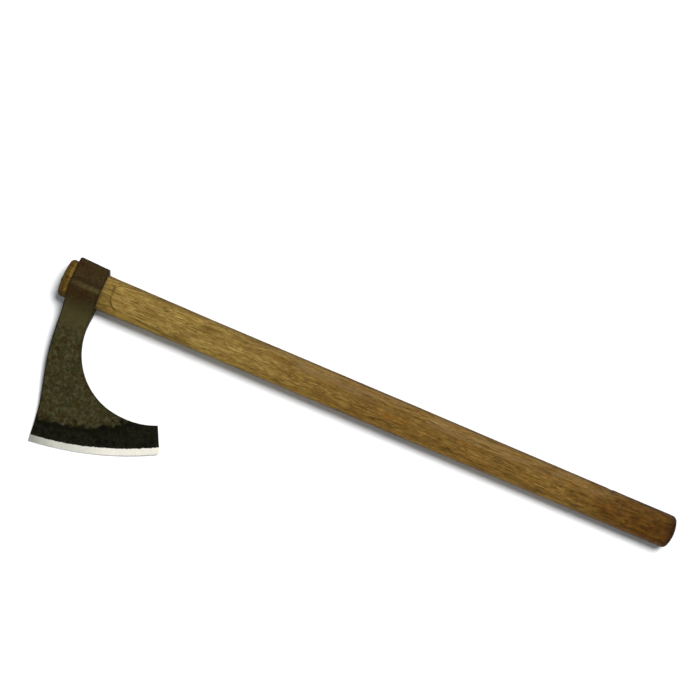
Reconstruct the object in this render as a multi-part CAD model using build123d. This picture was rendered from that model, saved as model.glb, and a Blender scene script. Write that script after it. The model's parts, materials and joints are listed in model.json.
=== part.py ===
from build123d import *

import math
import os

# Bearded broad axe. Every piece is drawn in the tool's own frame: X runs along the haft from the
# head to the butt, the cutting edge faces -Y, and Z crosses the blade, with Z = 0 the middle plane
# of both head and haft. The origin of that frame is the middle of the eye. The finished axe is then
# laid on its side, where it rests on the cheek of the eye, the heel of the edge and the butt.

# Haft, mm
haft_top_x = -27.5
haft_butt_x = 671.2
haft_flat_z = 14.0
haft_flat_half_width = 11.3
top_dome_radius = 110.0
top_dome_y = -3.0
top_rim_radius = 5.5
butt_dome_radius = 37.0
butt_rim_radius = 6.0
# Stations down the haft below the shoulder, each with its half depth; it tapers straight between
shoulder_end_x = 30.8
shoulder_end_depth = 19.4
swell_end_x = 140.0
swell_end_depth = 18.7
waist_x = 360.0
waist_depth = 18.5
butt_depth = 17.8

# Tenon: the oval stretch of the haft that fills the eye, spread at the top by the wedges
tenon_top_depth = 21.0
tenon_top_z = 14.6
tenon_root_depth = 19.5
tenon_root_z = 12.9
shoulder_start_x = 27.4

# Kerf and wedges in the haft's top end
kerf_depth = 42.0
kerf_half_width = 0.8
wedge_depth = 34.0
wedge_top_half_thickness = 3.0
steel_wedge_depth = 24.0
steel_wedge_half_width = 10.5
steel_wedge_top_half_thickness = 1.6
steel_wedge_tip_half_thickness = 0.3
steel_wedge_turn = 24.0

# Eye: the barrel that is folded round the haft
eye_half_length = 17.0
poll_y_at_top = 26.0
poll_y_at_mouth = 24.8
poll_corner = 1.2
mouth_corner_x = 1.8
mouth_corner_y = 4.9
barrel_crown_y = -2.0
barrel_half_thickness = 18.0
barrel_arch = 28.5
cheek = [(-18.0, 13.9), (-27.0, 9.2)]
neck_y = -40.0
neck_half_thickness = 6.1

# Blade, seen from the side
heel = (5.9, -174.1)
front_edge = [
    (-17.0, -12.0),
    (-15.4, -29.0),
    (-13.8, -52.0),
    (-10.0, -84.0),
    (0.0, -126.0),
    (4.2, -152.0),
]
lug = [(17.0, -14.0), (17.8, -25.0)]
throat_start = (16.95, -41.8)
throat_radius = 71.6
throat_arc = 74.8
beard_radius = 84.1
beard_arc = 38.9
beard_tip = (138.6, -132.6)
edge_centre = (-30.5, 180.2)
edge_radius = 356.7
bevel_width = 7.2

# Blade thickness, as half thicknesses at a radius from the centre of the cutting edge's arc
taper_start_radius = 226.0
bevel_half_thickness = 1.6
edge_half_thickness = 0.2

# Forge weld between the iron body and the edge steel: an arc, and a tongue in a cleft
weld_centre = (1.0, 14.0)
weld_radius = 160.8
tongue_depth = 10.0
tongue_half_thickness = 1.3

# Reaches of the cutting tools, which only have to pass the metal or the wood
reach = 60.0
far = 400.0

settle_passes = 6


def oval(x, half_depth, half_thickness):
    """An elliptical section of the haft at x."""
    return Plane.YZ.offset(x) * Ellipse(half_depth, half_thickness)


def oval_for_flats(x, half_depth):
    """The oval on which flats cut at haft_flat_z come out haft_flat_half_width to each side."""
    narrowing = math.sqrt(1 - (haft_flat_half_width / half_depth) ** 2)
    return oval(x, half_depth, haft_flat_z / narrowing)


def tenon():
    """The oval taper that fills the eye, wider at the top end."""
    top = oval(haft_top_x, tenon_top_depth, tenon_top_z)
    root = oval(shoulder_start_x, tenon_root_depth, tenon_root_z)
    return loft([top, root], ruled=True)


def haft_body():
    """Shoulder and body of the haft: straight tapers between ovals, with a flat on each broad side."""
    sections = [
        oval(shoulder_start_x, tenon_root_depth, tenon_root_z),
        oval_for_flats(shoulder_end_x, shoulder_end_depth),
        oval_for_flats(swell_end_x, swell_end_depth),
        oval_for_flats(waist_x, waist_depth),
        oval_for_flats(haft_butt_x, butt_depth),
    ]
    stock = loft(sections[:2], ruled=True)
    for pair in zip(sections[1:], sections[2:]):
        stock += loft(list(pair), ruled=True)
    slab = Box(2 * haft_butt_x, 2 * reach, 2 * haft_flat_z)
    return stock & slab


def haft_ends():
    """A stout bar that ends in the shallow dome of the haft's top and the rounder one of its butt."""
    top = Pos(haft_top_x + top_dome_radius, top_dome_y, 0) * Sphere(top_dome_radius)
    butt_centre_x = haft_butt_x - butt_dome_radius
    butt = Pos(butt_centre_x, 0, 0) * Sphere(butt_dome_radius)
    bar = Cylinder(
        butt_dome_radius,
        butt_centre_x,
        rotation=(0, 90, 0),
        align=(Align.CENTER, Align.CENTER, Align.MIN),
    )
    return top + bar + butt


def haft_blank():
    """The whole haft before the kerf is sawn."""
    blank = (tenon() + haft_body()) & haft_ends()
    top_rim = blank.faces().sort_by(Axis.X)[0].edges()
    blank = fillet(top_rim, top_rim_radius)
    butt_rim = blank.faces().sort_by(Axis.X)[-1].edges()
    return fillet(butt_rim, butt_rim_radius)


def driven_block(depth, top_half, tip_half, half_width):
    """A block let in from the haft's top end: it thins in Z as it goes along X, and is wide in Y."""
    start_x = haft_top_x - reach
    tip_x = haft_top_x + depth
    slope = (top_half - tip_half) / depth
    start_half = top_half + slope * reach
    outline = Polyline(
        (start_x, -start_half),
        (tip_x, -tip_half),
        (tip_x, tip_half),
        (start_x, start_half),
        close=True,
    )
    return extrude(Plane.XZ * make_face(outline), half_width, both=True)


def wooden_wedge_block():
    return driven_block(wedge_depth, wedge_top_half_thickness, kerf_half_width, reach)


def kerf_block():
    return driven_block(kerf_depth, kerf_half_width, kerf_half_width, reach)


def steel_wedge(blank):
    """A small steel wedge driven askew across the wooden one, its head flush with the haft's end."""
    block = driven_block(
        steel_wedge_depth,
        steel_wedge_top_half_thickness,
        steel_wedge_tip_half_thickness,
        steel_wedge_half_width,
    )
    return blank & (Rot(90 + steel_wedge_turn, 0, 0) * block)


def wooden_wedge(blank, cross):
    return (blank & wooden_wedge_block()) - cross


def haft(blank, cross):
    return blank - (wooden_wedge_block() + kerf_block()) - cross


def head_outline():
    """The head seen from its broad side, run out past the cutting edge, where the taper trims it."""
    x = eye_half_length
    poll = Polyline(
        front_edge[0],
        (-x, poll_y_at_top - poll_corner),
        (-x + poll_corner, poll_y_at_top),
        (x - mouth_corner_x, poll_y_at_mouth),
        (x, poll_y_at_mouth - mouth_corner_y),
        lug[0],
    )
    neck = Spline(lug + [throat_start], tangents=[(0, -1), (0, -1)])
    throat = JernArc(throat_start, (0, -1), throat_radius, throat_arc)
    beard = JernArc(throat @ 1, throat % 1, beard_radius, beard_arc)
    below = Polyline(
        beard @ 1,
        beard_tip,
        (beard_tip[0], beard_tip[1] - reach),
        (heel[0], heel[1] - reach),
        heel,
    )
    front = Spline(front_edge + [heel], tangents=[(0, -1), (0.1, -1)])
    return make_face(poll + neck + throat + beard + below + front)


def side_profile():
    """Thickness of the head from poll to edge: an arched barrel that draws in to a flat neck."""
    crown = (barrel_crown_y, barrel_half_thickness)
    neck = (neck_y, neck_half_thickness)
    middle = (barrel_crown_y, 0)
    arch = EllipticalCenterArc(middle, barrel_arch, barrel_half_thickness, arc_size=90)
    cheeks = Spline([crown] + cheek + [neck], tangents=[(-1, 0), (-1, -0.03)])
    rest = Polyline(neck, (-far, neck_half_thickness), (-far, 0), arch @ 0)
    half = make_face(arch + cheeks + rest)
    return extrude(Plane.YZ * (half + mirror(half, about=Plane.XZ)), far, both=True)


def blade_taper():
    """A disc about the centre of the edge's arc: it thins outwards and ends in the ground bevel."""
    flare = 4.0
    hub_radius = taper_start_radius - flare * neck_half_thickness
    outline = Polyline(
        (0, 0),
        (0, flare * neck_half_thickness),
        (hub_radius, flare * neck_half_thickness),
        (taper_start_radius, neck_half_thickness),
        (edge_radius - bevel_width, bevel_half_thickness),
        (edge_radius, edge_half_thickness),
        (edge_radius, 0),
        close=True,
    )
    half = make_face(outline)
    disc = revolve(Plane.XZ * (half + mirror(half, about=Plane.XZ)), Axis.Z)
    return Pos(*edge_centre, 0) * disc


def head_blank():
    """Iron body and edge steel as one shape, with the eye cut by the tenon that fills it."""
    plate = extrude(head_outline(), reach, both=True)
    return (plate & side_profile() & blade_taper()) - tenon()


def steel_region():
    """All that lies beyond the weld's arc, with the tongue that runs inwards from it."""
    beyond = Cylinder(far, 2 * reach) - Cylinder(weld_radius, 2 * reach)
    outline = Polyline(
        (weld_radius - tongue_depth, 0),
        (weld_radius + tongue_depth, 2 * tongue_half_thickness),
        (weld_radius + tongue_depth, -2 * tongue_half_thickness),
        close=True,
    )
    tongue = revolve(Plane.XZ * make_face(outline), Axis.Z)
    return Pos(*weld_centre, 0) * (beyond + tongue)


def turn(roll, pitch):
    return Rot(0, pitch, 0) * Rot(roll, 0, 0)


def lowest(shape, roll, pitch):
    return (turn(roll, pitch) * shape).bounding_box().min.Z


def resting_turn(cheek_foot, heel_foot, butt_foot):
    """Roll and pitch at which the eye's cheek, the heel of the edge and the butt touch one plane."""
    roll = 0.0
    pitch = 0.0
    for _ in range(settle_passes):
        cheek_z = lowest(cheek_foot, roll, pitch)
        heel_z = lowest(heel_foot, roll, pitch)
        butt_z = lowest(butt_foot, roll, pitch)
        roll += math.degrees((heel_z - cheek_z) / abs(heel[1]))
        pitch += math.degrees((butt_z - cheek_z) / haft_butt_x)
    return roll, pitch


def laying_down(pieces):
    """The move that lays the axe on its side, centred over the middle of its base."""
    eye_zone = Pos(0, neck_y + reach, 0) * Box(far, 2 * reach, reach)
    butt_zone = Pos(haft_butt_x, 0, 0) * Box(2 * reach, reach, reach)
    cheek_foot = pieces["head_body"] & eye_zone
    butt_foot = pieces["haft"] & butt_zone
    laid = turn(*resting_turn(cheek_foot, pieces["steel_bit"], butt_foot))
    box = Compound([laid * shape for shape in pieces.values()]).bounding_box()
    middle = box.center()
    return Pos(-middle.X, -middle.Y, -box.min.Z) * laid


def main():
    os.makedirs("parts", exist_ok=True)
    blank = haft_blank()
    cross = steel_wedge(blank)
    head = head_blank()
    steel = steel_region()
    pieces = {
        "head_body": head - steel,
        "steel_bit": head & steel,
        "haft": haft(blank, cross),
        "wooden_wedge": wooden_wedge(blank, cross),
        "steel_wedge": cross,
    }
    move = laying_down(pieces)
    for name, shape in pieces.items():
        export_step(move * shape, f"parts/{name}.step")
    print("laid down by", move)
    for name, side in (("upper flat", 1), ("under flat", -1)):
        face = (move * Pos(waist_x, 0, side * haft_flat_z)).position
        beyond = (move * Pos(waist_x, 0, side * (haft_flat_z + 1))).position
        print(name, "at", face, "normal", beyond - face)


main()
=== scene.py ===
import json
import math

import bmesh
import bpy
import numpy as np
from mathutils import Matrix, Vector


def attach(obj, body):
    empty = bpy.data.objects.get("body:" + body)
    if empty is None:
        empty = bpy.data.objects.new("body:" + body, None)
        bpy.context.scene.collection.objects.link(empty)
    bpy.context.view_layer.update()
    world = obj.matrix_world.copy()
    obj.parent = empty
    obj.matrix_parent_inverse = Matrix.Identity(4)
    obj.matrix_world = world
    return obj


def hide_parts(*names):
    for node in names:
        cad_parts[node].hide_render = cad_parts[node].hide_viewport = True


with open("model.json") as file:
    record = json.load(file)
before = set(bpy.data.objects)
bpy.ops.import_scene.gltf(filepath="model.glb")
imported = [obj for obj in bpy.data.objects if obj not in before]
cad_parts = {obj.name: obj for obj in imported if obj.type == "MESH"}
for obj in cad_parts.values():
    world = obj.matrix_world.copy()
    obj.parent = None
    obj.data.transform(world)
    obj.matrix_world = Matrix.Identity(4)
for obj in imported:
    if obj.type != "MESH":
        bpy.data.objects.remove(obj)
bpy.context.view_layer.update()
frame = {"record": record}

# --- The tool's own frame: X along the haft from head to butt, the cutting edge towards -Y, Z
# across the blade, in mm, with the middle of the eye as its origin. The record's mounts place it.

GRIP_STATION = 150.0
MM = 0.001

mounts = {mount["name"]: mount for mount in frame["record"]["mounts"]}


def unit(vector):
    return vector / np.linalg.norm(vector)


along = unit(np.array(mounts["grip"]["axis"], float))
across = np.array(mounts["upper_flat"]["axis"], float)
across = unit(across - along * across.dot(along))
TOOL = np.array([along, np.cross(across, along), across])
ORIGIN = np.array(mounts["grip"]["pos_m"], float) - along * GRIP_STATION * MM


def to_row(points):
    """Points of the tool's frame, in mm, as points of the row's frame, in metres."""
    return ORIGIN + (np.asarray(points, float) * MM) @ TOOL


def to_tool(points):
    """The way back from to_row."""
    return ((np.asarray(points, float) - ORIGIN) @ TOOL.T) / MM


# --- Small numeric helpers


def lattice_value(ix, iy, iz, seed):
    """A repeatable number from -1 to 1 for each point of a whole-number lattice."""
    mixed = (ix * 73856093) ^ (iy * 19349663) ^ (iz * 83492791) ^ (seed * 2654435761)
    mixed = mixed & 0xFFFFFFFF
    mixed = ((mixed ^ (mixed >> 15)) * 2246822519) & 0xFFFFFFFF
    mixed = ((mixed ^ (mixed >> 13)) * 3266489917) & 0xFFFFFFFF
    mixed = mixed ^ (mixed >> 16)
    return mixed / 0x7FFFFFFF - 1.0


def noise(points, size, seed):
    """Smooth noise from -1 to 1 whose lumps are about size across; size is one number or three."""
    scaled = np.asarray(points, float) / np.asarray(size, float)
    cell = np.floor(scaled).astype(np.int64)
    f = scaled - cell
    f = f * f * (3.0 - 2.0 * f)
    total = 0.0
    for corner in np.ndindex(2, 2, 2):
        weight = np.prod(np.where(corner, f, 1.0 - f), axis=-1)
        total = total + weight * lattice_value(*np.moveaxis(cell + corner, -1, 0), seed)
    return total


def stack(*parts):
    return np.stack(parts, axis=-1)


def smoothstep(low, high, value):
    t = np.clip((value - low) / (high - low), 0.0, 1.0)
    return t * t * (3.0 - 2.0 * t)


def soft_min(a, b, softness):
    """The lesser of a and b, with the crease between them rounded."""
    h = np.clip(0.5 + 0.5 * (b - a) / softness, 0.0, 1.0)
    return b * (1 - h) + a * h - softness * h * (1 - h)


def spline(knots, values, first_slope, last_slope):
    """A clamped cubic through the points, as a function that takes arrays."""
    k = np.asarray(knots, float)
    v = np.asarray(values, float)
    step = np.diff(k)
    rise = np.diff(v) / step
    size = len(k)
    matrix = np.eye(size)
    right = np.array([first_slope, *np.zeros(size - 2), last_slope])
    for i in range(1, size - 1):
        matrix[i, i - 1 : i + 2] = (step[i], 2 * (step[i - 1] + step[i]), step[i - 1])
        right[i] = 3 * (step[i] * rise[i - 1] + step[i - 1] * rise[i])
    slope = np.linalg.solve(matrix, right)

    def curve(x):
        x = np.clip(x, k[0], k[-1])
        i = np.clip(np.searchsorted(k, x) - 1, 0, size - 2)
        t = (x - k[i]) / step[i]
        start = v[i] * (2 * t**3 - 3 * t**2 + 1)
        leave = slope[i] * step[i] * (t**3 - 2 * t**2 + t)
        end = v[i + 1] * (3 * t**2 - 2 * t**3)
        arrive = slope[i + 1] * step[i] * (t**3 - t**2)
        return start + leave + end + arrive

    return curve


# --- Meshes

SHARP_ANGLE = math.radians(32.0)
WELD_GAP = 0.002 * MM
SLIVER = 0.0005 * MM


def placed(name, data):
    """A new object in the scene."""
    made = bpy.data.objects.new(name, data)
    bpy.context.scene.collection.objects.link(made)
    return made


def rework(mesh, then):
    """Joins points that coincide, runs then on the mesh's bmesh, and shades the mesh smooth."""
    work = bmesh.new()
    work.from_mesh(mesh)
    bmesh.ops.remove_doubles(work, verts=work.verts, dist=WELD_GAP)
    then(work)
    work.to_mesh(mesh)
    work.free()
    mesh.update()
    mesh.polygons.foreach_set("use_smooth", np.ones(len(mesh.polygons), bool))
    mesh.set_sharp_from_angle(angle=SHARP_ANGLE)


def face_outwards(work):
    bmesh.ops.recalc_face_normals(work, faces=work.faces)


def clean_cut(work):
    """Removes the points and slivers that a cut leaves and that no surface needs."""
    bmesh.ops.dissolve_degenerate(work, edges=work.edges, dist=SLIVER)
    idle = [vert for vert in work.verts if len(vert.link_edges) == 2]
    bmesh.ops.dissolve_verts(work, verts=idle)
    many_sided = [face for face in work.faces if len(face.verts) > 4]
    bmesh.ops.triangulate(work, faces=many_sided, ngon_method="BEAUTY")


def make_object(name, points, faces):
    """A closed mesh object from tool-frame points."""
    mesh = bpy.data.meshes.new(name)
    mesh.from_pydata(to_row(points).tolist(), [], faces)
    rework(mesh, face_outwards)
    return placed(name, mesh)


def quads(rows, columns, offset, closed):
    """Faces of a grid of points stored row by row."""
    i = np.arange(rows - 1)[:, None]
    j = np.arange(columns if closed else columns - 1)[None, :]
    k = (j + 1) % columns
    corners = [i * columns + j, i * columns + k, (i + 1) * columns + k, (i + 1) * columns + j]
    stacked = stack(*[np.broadcast_to(c, (rows - 1, j.shape[1])) for c in corners])
    return (stacked.reshape(-1, 4) + offset).tolist()


def join_grids(grids):
    """Points and faces of several grids, each (rows, columns, 3) with a flag for closed rows."""
    points = []
    faces = []
    count = 0
    for grid, closed in grids:
        rows, columns = grid.shape[:2]
        points.append(grid.reshape(-1, 3))
        faces += quads(rows, columns, count, closed)
        count += rows * columns
    return np.concatenate(points), faces


def capped(loops):
    """Points and faces of a solid: loops of points, with the first and the last filled in."""
    grid = np.array(loops, float)
    points, faces = join_grids([(grid, True)])
    count = grid.shape[1]
    faces.append(list(range(count)))
    faces.append(list(range(len(points) - count, len(points))))
    return points, faces


def boolean(target, cutter, operation):
    """Cuts target with cutter, removes the cutter, and keeps the result in target's mesh."""
    modifier = target.modifiers.new("cut", "BOOLEAN")
    modifier.operation = operation
    modifier.solver = "EXACT"
    modifier.object = cutter
    bpy.context.view_layer.update()
    graph = bpy.context.evaluated_depsgraph_get()
    result = bpy.data.meshes.new_from_object(target.evaluated_get(graph))
    target.modifiers.clear()
    old = target.data
    target.data = result
    result.name = target.name
    bpy.data.meshes.remove(old)
    bpy.data.objects.remove(cutter)
    rework(result, clean_cut)


# --- Head: its outline seen from the broad side

POLL_TOP = (-15.8, 26.0)
POLL_MOUTH = (15.2, 24.8)
EYE_HALF = 17.0
POLL_CORNER_Y = 24.8
MOUTH_CORNER_Y = 19.9
HEEL = (5.9, -174.1)
FRONT_KNOTS = [12.0, 29.0, 52.0, 84.0, 126.0, 152.0, 174.1]
FRONT_X = [-17.0, -15.4, -13.8, -10.0, 0.0, 4.2, 5.9]
LUG_KNOTS = [14.0, 25.0, 41.8]
LUG_X = [17.0, 17.8, 16.95]
THROAT_START = (16.95, -41.8)
THROAT_RADIUS = 71.6
THROAT_ARC = 74.8
BEARD_RADIUS = 84.1
BEARD_ARC = 38.9
BEARD_TIP = (138.6, -132.6)
PAST_EDGE = 5.0
EDGE_CENTRE = np.array([-30.5, 180.2])
EDGE_RADIUS = 356.7
BEVEL_RADIUS = 349.5
WELD_CENTRE = np.array([1.0, 14.0])
WELD_RADIUS = 160.8
TONGUE_DEPTH = 10.0
TONGUE_HALF = 1.3

front_spline = spline(FRONT_KNOTS, FRONT_X, 0.0, 0.1)
lug_spline = spline(LUG_KNOTS, LUG_X, 0.0, 0.0)


def arc_points(start, heading, radius, turn, count):
    """Points of an arc that leaves start along heading, in degrees, and turns left."""
    h = math.radians(heading)
    centre = np.array(start) + radius * np.array([-math.sin(h), math.cos(h)])
    angles = h - math.pi / 2 + np.radians(np.linspace(0, turn, count))
    return centre + radius * stack(np.cos(angles), np.sin(angles))


def resample(path, fractions):
    """Points at fractions of a path's length."""
    lengths = np.concatenate([[0], np.cumsum(np.linalg.norm(np.diff(path, axis=0), axis=1))])
    at = np.asarray(fractions) * lengths[-1]
    return stack(*[np.interp(at, lengths, path[:, k]) for k in (0, 1)])


def cut_at_radius(path, centre, radius):
    """The point where a path first passes outside a circle."""
    distance = np.linalg.norm(path - centre, axis=1)
    i = int(np.argmax(distance > radius))
    t = (radius - distance[i - 1]) / (distance[i] - distance[i - 1])
    return path[i - 1] + t * (path[i] - path[i - 1])


front_y = np.linspace(POLL_CORNER_Y, HEEL[1], 500)
front_path = np.vstack([
    stack(front_spline(-front_y), front_y),
    [[HEEL[0], HEEL[1] - PAST_EDGE]],
])
lug_y = np.linspace(-LUG_KNOTS[0], THROAT_START[1], 40)
throat = arc_points(THROAT_START, -90.0, THROAT_RADIUS, THROAT_ARC, 200)
beard = arc_points(throat[-1], -90.0 + THROAT_ARC, BEARD_RADIUS, BEARD_ARC, 160)
end_line = np.linspace(beard[-1], BEARD_TIP, 60)
past_tip = [[BEARD_TIP[0], BEARD_TIP[1] - PAST_EDGE]]
back_path = np.vstack([
    [POLL_MOUTH],
    stack(np.full(60, EYE_HALF), np.linspace(MOUTH_CORNER_Y, lug_y[0], 60))[:-1],
    stack(lug_spline(-lug_y), lug_y),
    throat[1:],
    beard[1:],
    end_line[1:],
    past_tip,
])
outline_paths = [np.vstack([[POLL_TOP], front_path]), back_path]

# --- Head: half thickness at a point of its broad side

CROWN_Y = -2.0
CROWN_HALF = 18.0
ARCH = 28.5
NECK_Y = -40.0
NECK_HALF = 6.1
BEVEL_HALF = 1.6
EDGE_HALF = 0.2
TAPER_START = 226.0
CHEEK_CREASE = 0.35
FAR = 40.0

cheek_spline = spline([2.0, 18.0, 27.0, 40.0], [CROWN_HALF, 13.9, 9.2, NECK_HALF], 0.0, -0.03)


def half_thickness(x, y):
    """The arched eye and its cheeks, or the tapering plate and its bevel, whichever is thinner."""
    arch = CROWN_HALF * np.sqrt(np.clip(1 - ((y - CROWN_Y) / ARCH) ** 2, 0.0, 1.0))
    barrel = np.where(y > CROWN_Y, arch, cheek_spline(-y))
    radius = np.hypot(x - EDGE_CENTRE[0], y - EDGE_CENTRE[1])
    slope = (NECK_HALF - BEVEL_HALF) / (BEVEL_RADIUS - TAPER_START)
    plate = NECK_HALF - (radius - TAPER_START) * slope
    bevel = EDGE_HALF + (EDGE_RADIUS - radius) * (BEVEL_HALF - EDGE_HALF) / (EDGE_RADIUS - BEVEL_RADIUS)
    blade = np.where(radius < BEVEL_RADIUS, plate, bevel)
    blade = np.where(radius < TAPER_START, NECK_HALF + FAR, blade)
    return soft_min(barrel, blade, CHEEK_CREASE)


def outline_distance(x, y):
    """Distance from each point to the nearest side edge of the head."""
    shape = x.shape
    p = stack(x.ravel(), y.ravel())
    best = np.full(len(p), 1e9)
    for path in outline_paths:
        coarse = path[::3] if len(path) > 300 else path
        coarse = np.vstack([coarse, path[-1]])
        for start, end in zip(coarse[:-1], coarse[1:]):
            edge = end - start
            length = edge.dot(edge)
            if length < 1e-9:
                continue
            t = np.clip(((p - start) @ edge) / length, 0, 1)
            d = np.hypot(p[:, 0] - start[0] - t * edge[0], p[:, 1] - start[1] - t * edge[1])
            np.minimum(best, d, out=best)
    return best.reshape(shape)


def hammer_marks(x, y, side):
    """Relief left by forging: broad soft facets, smaller marks and scale pits, in mm."""
    p = stack(x, y, np.full(x.shape, 37.0 * side))
    broad = noise(p, 13.0, 1) * 0.13
    facets = np.abs(noise(p, 7.5, 2)) * 0.12
    grain = noise(p, 2.6, 3) * 0.035
    pits = -0.14 * smoothstep(0.42, 0.75, noise(p, 3.9, 4))
    return broad + facets + grain + pits


def wavering(points):
    """The hand-forged unevenness of the outline, as a shift in X and Y."""
    p = np.concatenate([points[..., :2], np.zeros(points.shape[:-1] + (1,))], axis=-1)
    shift_x = noise(p, 22.0, 11) * 0.22 + noise(p, 6.0, 12) * 0.07
    shift_y = noise(p, 22.0, 13) * 0.18 + noise(p, 6.0, 14) * 0.06
    return stack(shift_x, shift_y)


# --- Head: stations from the poll to the cutting edge, each an arc from the front to the back outline

EDGE_INSETS = np.array([0.0, 0.07, 0.2, 0.4, 0.7, 1.1, 1.6])
MIDDLE_COLUMNS = 96
WALL_ROWS = 7


def station(front, back, curvature):
    """Points across one station, close together near the two side edges."""
    chord = back - front
    width = np.linalg.norm(chord)
    normal = np.array([chord[1], -chord[0]]) / width
    rise = 0.0 if curvature == 0 else (1 - math.sqrt(1 - (curvature * width / 2) ** 2)) / curvature
    insets = EDGE_INSETS / width
    middle = np.linspace(insets[-1], 1 - insets[-1], MIDDLE_COLUMNS + 2)[1:-1]
    t = np.concatenate([insets, middle, 1 - insets[::-1]])
    return front + t[:, None] * chord + (4 * rise * t * (1 - t))[:, None] * normal


def blend_stations(fronts, backs, curvatures):
    return np.stack([station(f, b, c) for f, b, c in zip(fronts, backs, curvatures)])


def barrel_stations():
    """From the poll to the throat: straight across, square to the blade's length."""
    phi = np.linspace(math.asin((POLL_TOP[1] - CROWN_Y) / ARCH), 0, 44)
    upper = CROWN_Y + ARCH * np.sin(phi)
    lower = np.linspace(CROWN_Y, THROAT_START[1], 62)[1:]
    ys = np.concatenate([upper, lower])
    slant = (POLL_TOP[1] - POLL_MOUTH[1]) * smoothstep(5.0, POLL_TOP[1], ys)
    low = ys - slant
    cut = (low - MOUTH_CORNER_Y) / (POLL_MOUTH[1] - MOUTH_CORNER_Y)
    chamfer = EYE_HALF + np.maximum(cut, 0.0) * (POLL_MOUTH[0] - EYE_HALF)
    back_x = np.where(low < -LUG_KNOTS[0], lug_spline(-low), chamfer)
    front_x = front_spline(-ys) + np.maximum(ys - POLL_CORNER_Y, 0.0)
    return blend_stations(stack(front_x, ys), stack(back_x, low), np.zeros(len(ys)))


front_below = front_path[front_path[:, 1] <= THROAT_START[1]]
front_below = np.vstack([[float(front_spline(-THROAT_START[1])), THROAT_START[1]], front_below])
back_below = np.vstack([throat, beard[1:], end_line[1:], past_tip])
below = (front_below, back_below)
weld_front, weld_back = [cut_at_radius(path, WELD_CENTRE, WELD_RADIUS) for path in below]
bevel_front, bevel_back = [cut_at_radius(path, EDGE_CENTRE, BEVEL_RADIUS) for path in below]
edge_front, edge_back = [cut_at_radius(path, EDGE_CENTRE, EDGE_RADIUS) for path in below]
beard_corner = beard[-1]


def part_of(path, first, last):
    i = int(np.argmin(np.linalg.norm(path - first, axis=1)))
    j = int(np.argmin(np.linalg.norm(path - last, axis=1)))
    return np.vstack([first, path[i + 1 : j], last])


def fan(front_pair, back_pair, curvature_pair, count):
    """Stations that move from one arc to the next along both outlines."""
    t = np.linspace(0, 1, count)
    fronts = resample(part_of(front_below, *front_pair), t)
    backs = resample(part_of(back_below, *back_pair), t)
    curvatures = curvature_pair[0] + (curvature_pair[1] - curvature_pair[0]) * t
    return blend_stations(fronts, backs, curvatures)[1:]


WELD_BEND = 1 / WELD_RADIUS
BEVEL_BEND = 1 / BEVEL_RADIUS
EDGE_BEND = 1 / EDGE_RADIUS
corner_front = resample(part_of(front_below, weld_front, bevel_front), [0.45])[0]
corner_bend = (WELD_BEND + BEVEL_BEND) / 2


CORNER_ROUND = 1.1
BEVEL_ROUND = 0.12
BEVEL_RELIEF = 0.06


def head_skin(flat_grid):
    """Closes a grid of stations into a tube: upper face, back wall, lower face and front wall."""
    x = flat_grid[..., 0]
    y = flat_grid[..., 1]
    half = half_thickness(x, y)
    radius = np.hypot(x - EDGE_CENTRE[0], y - EDGE_CENTRE[1])
    calm = 1 - smoothstep(BEVEL_RADIUS - 3.0, BEVEL_RADIUS - 0.3, radius)
    rounding = np.minimum(CORNER_ROUND * (BEVEL_ROUND + (1 - BEVEL_ROUND) * calm), 0.72 * half)
    inside = np.clip(rounding - outline_distance(x, y), 0, None)
    drop = rounding - np.sqrt(np.clip(rounding**2 - inside**2, 0, None))
    faces = {}
    for side in (1, -1):
        relief = hammer_marks(x, y, side) * (BEVEL_RELIEF + (1 - BEVEL_RELIEF) * calm)
        relief = relief * smoothstep(0.0, 3.0, half)
        faces[side] = side * (half + relief - drop)
    xy = flat_grid + wavering(flat_grid) * calm[..., None]
    top = np.concatenate([xy, faces[1][..., None]], axis=-1)
    bottom = np.concatenate([xy, faces[-1][..., None]], axis=-1)
    steps = np.linspace(0, 1, WALL_ROWS + 2)[:, None]
    down = steps[1:-1]
    back_wall = top[:, -1:] + down * (bottom[:, -1:] - top[:, -1:])
    front_wall = bottom[:, :1] + down * (top[:, :1] - bottom[:, :1])
    ring = np.concatenate([top, back_wall, bottom[:, ::-1], front_wall], axis=1)
    caps = [(top[row] + steps[:, None] * (bottom[row] - top[row]), False) for row in (0, -1)]
    return join_grids([(ring, True), *caps])


def ring_sector(centre, profile, first, last, steps):
    """A closed solid: a profile of (radius, z) points swept about a line across the blade."""
    profile = np.array(profile)
    loops = []
    for angle in np.radians(np.linspace(first, last, steps)):
        xy = np.array(centre) + profile[:, :1] * np.array([math.cos(angle), math.sin(angle)])
        loops.append(np.concatenate([xy, profile[:, 1:]], axis=1))
    return capped(loops)


def steel_region():
    """All beyond the weld's arc, with the tongue that runs inwards from it."""
    tall = 30.0
    far = WELD_RADIUS + 60.0
    profile = [
        (WELD_RADIUS - TONGUE_DEPTH, 0.0),
        (WELD_RADIUS, TONGUE_HALF),
        (WELD_RADIUS, tall),
        (far, tall),
        (far, -tall),
        (WELD_RADIUS, -tall),
        (WELD_RADIUS, -TONGUE_HALF),
    ]
    return make_object("weld_cutter", *ring_sector(WELD_CENTRE, profile, -112.0, -20.0, 140))


barrel = barrel_stations()
blade = fan((front_below[0], weld_front), (back_below[0], weld_back), (0.0, WELD_BEND), 150)
steel = np.concatenate([
    fan((weld_front, corner_front), (weld_back, beard_corner), (WELD_BEND, corner_bend), 34),
    fan((corner_front, bevel_front), (beard_corner, bevel_back), (corner_bend, BEVEL_BEND), 30),
    fan((bevel_front, edge_front), (bevel_back, edge_back), (BEVEL_BEND, EDGE_BEND), 12),
])

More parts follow.
